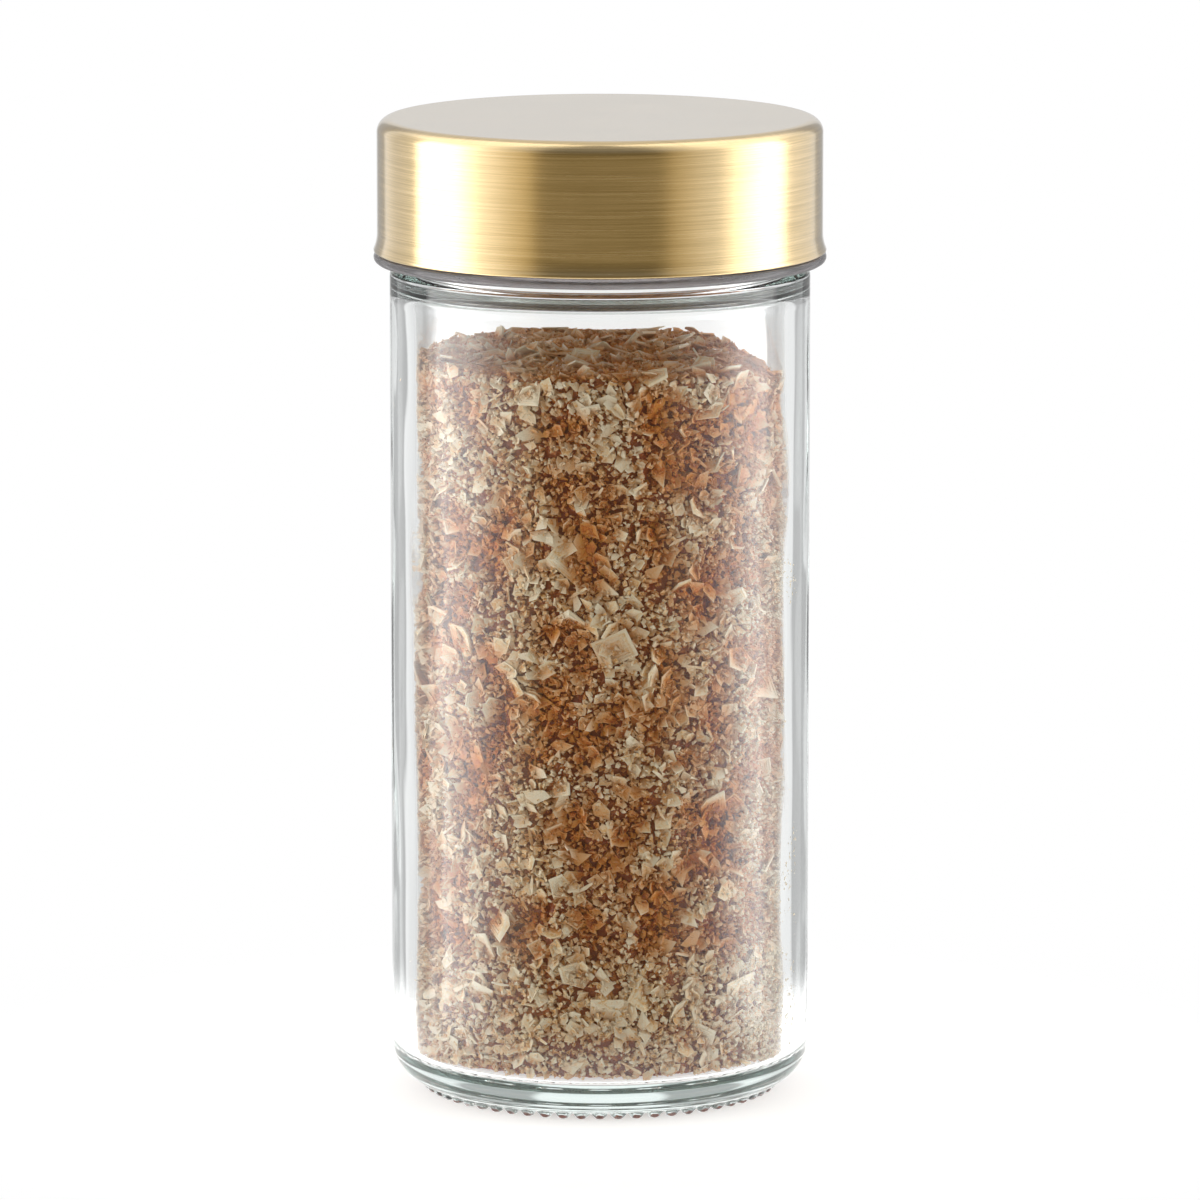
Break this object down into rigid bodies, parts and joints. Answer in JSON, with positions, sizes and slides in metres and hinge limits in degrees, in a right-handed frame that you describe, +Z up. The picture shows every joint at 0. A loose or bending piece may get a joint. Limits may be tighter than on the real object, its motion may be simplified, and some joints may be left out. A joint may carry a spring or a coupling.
{
  "type": "spice jar",
  "caption": "Clear round glass spice jar with a beaded foot, filled with coarse amber salt flakes, closed by a brushed brass-coloured screw lid on a translucent insert.",
  "frame": {"origin": "on the table, on the axis of the jar, under the middle of its foot", "axes": "+Z up along the axis of the jar and lid, +X to the right and -Y towards the viewer of the picture"},
  "size_m": [0.0508, 0.0508, 0.1103],
  "materials": {
    "jar_glass": "polished",
    "salt": "matte",
    "liner_foam": "matte",
    "insert_plastic": "gloss",
    "cover_metal": "satin"
  },
  "bodies": {
    "jar": {"jar_glass": "jar_glass", "salt_fill": "salt"},
    "liner": {"lid_liner": "liner_foam"},
    "lid": {"lid_insert": "insert_plastic", "lid_cover": "cover_metal"}
  },
  "joints": [
    {"name": "lid_rise", "type": "slide", "parent": "jar", "child": "liner", "axis": [0, 0, 1], "range_m": [0, 0.02]},
    {"name": "lid_turn", "type": "hinge", "parent": "liner", "child": "lid", "pos_m": [0, 0, 0.1], "axis": [0, 0, 1], "range_deg": [0, 1800]}
  ],
  "couplings": [
    {"joint": "lid_rise", "follows": "lid_turn", "m_per_rad": 0.00063662}
  ]
}
